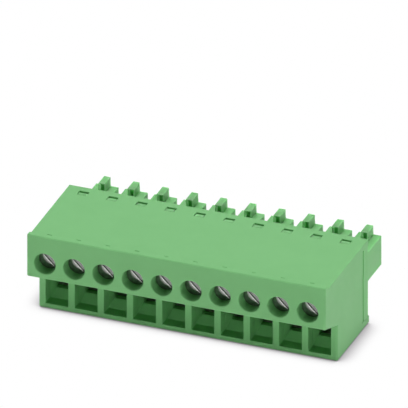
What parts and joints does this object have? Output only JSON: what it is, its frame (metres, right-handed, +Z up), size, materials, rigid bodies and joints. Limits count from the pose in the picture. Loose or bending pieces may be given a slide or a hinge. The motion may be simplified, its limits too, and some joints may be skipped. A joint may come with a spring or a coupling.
{
  "type": "pluggable terminal block",
  "caption": "Green plug-in screw terminal block: a row of front wire entries under front screws, with wedge clamps inside and hollow coding ribs on its rear mating chambers.",
  "frame": {"origin": "centre of the bounding box's base, on the plane of the flat underside", "axes": "+X along the row of poles, to the right seen from the wire side; -Y towards the wires and screwdriver, +Y towards the header that it plugs onto; +Z up"},
  "size_m": [0.039, 0.0214, 0.0122],
  "materials": {
    "green_housing": "fine moulded satin",
    "green_carrier": "fine moulded satin",
    "plated_steel": "zinc plated, turned",
    "bright_brass": "milled brass",
    "tinned_contact": "tin plated copper alloy"
  },
  "bodies": {
    "shell": {"front_housing": "green_housing", "pole_carrier": "green_carrier", "contact_01": "tinned_contact", "contact_02": "tinned_contact", "contact_03": "tinned_contact", "contact_04": "tinned_contact", "contact_05": "tinned_contact", "contact_06": "tinned_contact", "contact_07": "tinned_contact", "contact_08": "tinned_contact", "contact_09": "tinned_contact", "contact_10": "tinned_contact"},
    "screw_01": {"screw_01": "plated_steel"},
    "wedge_nut_01": {"wedge_nut_01": "bright_brass"},
    "pressure_jaw_01": {"pressure_jaw_01": "bright_brass"},
    "screw_02": {"screw_02": "plated_steel"},
    "wedge_nut_02": {"wedge_nut_02": "bright_brass"},
    "pressure_jaw_02": {"pressure_jaw_02": "bright_brass"},
    "screw_03": {"screw_03": "plated_steel"},
    "wedge_nut_03": {"wedge_nut_03": "bright_brass"},
    "pressure_jaw_03": {"pressure_jaw_03": "bright_brass"},
    "screw_04": {"screw_04": "plated_steel"},
    "wedge_nut_04": {"wedge_nut_04": "bright_brass"},
    "pressure_jaw_04": {"pressure_jaw_04": "bright_brass"},
    "screw_05": {"screw_05": "plated_steel"},
    "wedge_nut_05": {"wedge_nut_05": "bright_brass"},
    "pressure_jaw_05": {"pressure_jaw_05": "bright_brass"},
    "screw_06": {"screw_06": "plated_steel"},
    "wedge_nut_06": {"wedge_nut_06": "bright_brass"},
    "pressure_jaw_06": {"pressure_jaw_06": "bright_brass"},
    "screw_07": {"screw_07": "plated_steel"},
    "wedge_nut_07": {"wedge_nut_07": "bright_brass"},
    "pressure_jaw_07": {"pressure_jaw_07": "bright_brass"},
    "screw_08": {"screw_08": "plated_steel"},
    "wedge_nut_08": {"wedge_nut_08": "bright_brass"},
    "pressure_jaw_08": {"pressure_jaw_08": "bright_brass"},
    "screw_09": {"screw_09": "plated_steel"},
    "wedge_nut_09": {"wedge_nut_09": "bright_brass"},
    "pressure_jaw_09": {"pressure_jaw_09": "bright_brass"},
    "screw_10": {"screw_10": "plated_steel"},
    "wedge_nut_10": {"wedge_nut_10": "bright_brass"},
    "pressure_jaw_10": {"pressure_jaw_10": "bright_brass"}
  },
  "joints": [
    {"name": "screw_01_turn", "type": "hinge", "parent": "shell", "child": "screw_01", "pos_m": [-0.01715, -0.0095, 0.0085], "axis": [0, 1, 0], "range_deg": [0, 2160]},
    {"name": "wedge_nut_01_slide", "type": "slide", "parent": "shell", "child": "wedge_nut_01", "axis": [0, -1, 0], "range_m": [0, 0.0024]},
    {"name": "pressure_jaw_01_slide", "type": "slide", "parent": "shell", "child": "pressure_jaw_01", "axis": [0, 0, -1], "range_m": [0, 0.0024]},
    {"name": "screw_02_turn", "type": "hinge", "parent": "shell", "child": "screw_02", "pos_m": [-0.01333, -0.0095, 0.0085], "axis": [0, 1, 0], "range_deg": [0, 2160]},
    {"name": "wedge_nut_02_slide", "type": "slide", "parent": "shell", "child": "wedge_nut_02", "axis": [0, -1, 0], "range_m": [0, 0.0024]},
    {"name": "pressure_jaw_02_slide", "type": "slide", "parent": "shell", "child": "pressure_jaw_02", "axis": [0, 0, -1], "range_m": [0, 0.0024]},
    {"name": "screw_03_turn", "type": "hinge", "parent": "shell", "child": "screw_03", "pos_m": [-0.00953, -0.0095, 0.0085], "axis": [0, 1, 0], "range_deg": [0, 2160]},
    {"name": "wedge_nut_03_slide", "type": "slide", "parent": "shell", "child": "wedge_nut_03", "axis": [0, -1, 0], "range_m": [0, 0.0024]},
    {"name": "pressure_jaw_03_slide", "type": "slide", "parent": "shell", "child": "pressure_jaw_03", "axis": [0, 0, -1], "range_m": [0, 0.0024]},
    {"name": "screw_04_turn", "type": "hinge", "parent": "shell", "child": "screw_04", "pos_m": [-0.00571, -0.0095, 0.0085], "axis": [0, 1, 0], "range_deg": [0, 2160]},
    {"name": "wedge_nut_04_slide", "type": "slide", "parent": "shell", "child": "wedge_nut_04", "axis": [0, -1, 0], "range_m": [0, 0.0024]},
    {"name": "pressure_jaw_04_slide", "type": "slide", "parent": "shell", "child": "pressure_jaw_04", "axis": [0, 0, -1], "range_m": [0, 0.0024]},
    {"name": "screw_05_turn", "type": "hinge", "parent": "shell", "child": "screw_05", "pos_m": [-0.00191, -0.0095, 0.0085], "axis": [0, 1, 0], "range_deg": [0, 2160]},
    {"name": "wedge_nut_05_slide", "type": "slide", "parent": "shell", "child": "wedge_nut_05", "axis": [0, -1, 0], "range_m": [0, 0.0024]},
    {"name": "pressure_jaw_05_slide", "type": "slide", "parent": "shell", "child": "pressure_jaw_05", "axis": [0, 0, -1], "range_m": [0, 0.0024]},
    {"name": "screw_06_turn", "type": "hinge", "parent": "shell", "child": "screw_06", "pos_m": [0.00191, -0.0095, 0.0085], "axis": [0, 1, 0], "range_deg": [0, 2160]},
    {"name": "wedge_nut_06_slide", "type": "slide", "parent": "shell", "child": "wedge_nut_06", "axis": [0, -1, 0], "range_m": [0, 0.0024]},
    {"name": "pressure_jaw_06_slide", "type": "slide", "parent": "shell", "child": "pressure_jaw_06", "axis": [0, 0, -1], "range_m": [0, 0.0024]},
    {"name": "screw_07_turn", "type": "hinge", "parent": "shell", "child": "screw_07", "pos_m": [0.00571, -0.0095, 0.0085], "axis": [0, 1, 0], "range_deg": [0, 2160]},
    {"name": "wedge_nut_07_slide", "type": "slide", "parent": "shell", "child": "wedge_nut_07", "axis": [0, -1, 0], "range_m": [0, 0.0024]},
    {"name": "pressure_jaw_07_slide", "type": "slide", "parent": "shell", "child": "pressure_jaw_07", "axis": [0, 0, -1], "range_m": [0, 0.0024]},
    {"name": "screw_08_turn", "type": "hinge", "parent": "shell", "child": "screw_08", "pos_m": [0.00953, -0.0095, 0.0085], "axis": [0, 1, 0], "range_deg": [0, 2160]},
    {"name": "wedge_nut_08_slide", "type": "slide", "parent": "shell", "child": "wedge_nut_08", "axis": [0, -1, 0], "range_m": [0, 0.0024]},
    {"name": "pressure_jaw_08_slide", "type": "slide", "parent": "shell", "child": "pressure_jaw_08", "axis": [0, 0, -1], "range_m": [0, 0.0024]},
    {"name": "screw_09_turn", "type": "hinge", "parent": "shell", "child": "screw_09", "pos_m": [0.01333, -0.0095, 0.0085], "axis": [0, 1, 0], "range_deg": [0, 2160]},
    {"name": "wedge_nut_09_slide", "type": "slide", "parent": "shell", "child": "wedge_nut_09", "axis": [0, -1, 0], "range_m": [0, 0.0024]},
    {"name": "pressure_jaw_09_slide", "type": "slide", "parent": "shell", "child": "pressure_jaw_09", "axis": [0, 0, -1], "range_m": [0, 0.0024]},
    {"name": "screw_10_turn", "type": "hinge", "parent": "shell", "child": "screw_10", "pos_m": [0.01715, -0.0095, 0.0085], "axis": [0, 1, 0], "range_deg": [0, 2160]},
    {"name": "wedge_nut_10_slide", "type": "slide", "parent": "shell", "child": "wedge_nut_10", "axis": [0, -1, 0], "range_m": [0, 0.0024]},
    {"name": "pressure_jaw_10_slide", "type": "slide", "parent": "shell", "child": "pressure_jaw_10", "axis": [0, 0, -1], "range_m": [0, 0.0024]}
  ],
  "couplings": [
    {"joint": "wedge_nut_01_slide", "follows": "pressure_jaw_01_slide", "ratio": 1},
    {"joint": "screw_01_turn", "follows": "pressure_jaw_01_slide", "rad_per_m": 15708},
    {"joint": "wedge_nut_02_slide", "follows": "pressure_jaw_02_slide", "ratio": 1},
    {"joint": "screw_02_turn", "follows": "pressure_jaw_02_slide", "rad_per_m": 15708},
    {"joint": "wedge_nut_03_slide", "follows": "pressure_jaw_03_slide", "ratio": 1},
    {"joint": "screw_03_turn", "follows": "pressure_jaw_03_slide", "rad_per_m": 15708},
    {"joint": "wedge_nut_04_slide", "follows": "pressure_jaw_04_slide", "ratio": 1},
    {"joint": "screw_04_turn", "follows": "pressure_jaw_04_slide", "rad_per_m": 15708},
    {"joint": "wedge_nut_05_slide", "follows": "pressure_jaw_05_slide", "ratio": 1},
    {"joint": "screw_05_turn", "follows": "pressure_jaw_05_slide", "rad_per_m": 15708},
    {"joint": "wedge_nut_06_slide", "follows": "pressure_jaw_06_slide", "ratio": 1},
    {"joint": "screw_06_turn", "follows": "pressure_jaw_06_slide", "rad_per_m": 15708},
    {"joint": "wedge_nut_07_slide", "follows": "pressure_jaw_07_slide", "ratio": 1},
    {"joint": "screw_07_turn", "follows": "pressure_jaw_07_slide", "rad_per_m": 15708},
    {"joint": "wedge_nut_08_slide", "follows": "pressure_jaw_08_slide", "ratio": 1},
    {"joint": "screw_08_turn", "follows": "pressure_jaw_08_slide", "rad_per_m": 15708},
    {"joint": "wedge_nut_09_slide", "follows": "pressure_jaw_09_slide", "ratio": 1},
    {"joint": "screw_09_turn", "follows": "pressure_jaw_09_slide", "rad_per_m": 15708},
    {"joint": "wedge_nut_10_slide", "follows": "pressure_jaw_10_slide", "ratio": 1},
    {"joint": "screw_10_turn", "follows": "pressure_jaw_10_slide", "rad_per_m": 15708}
  ]
}
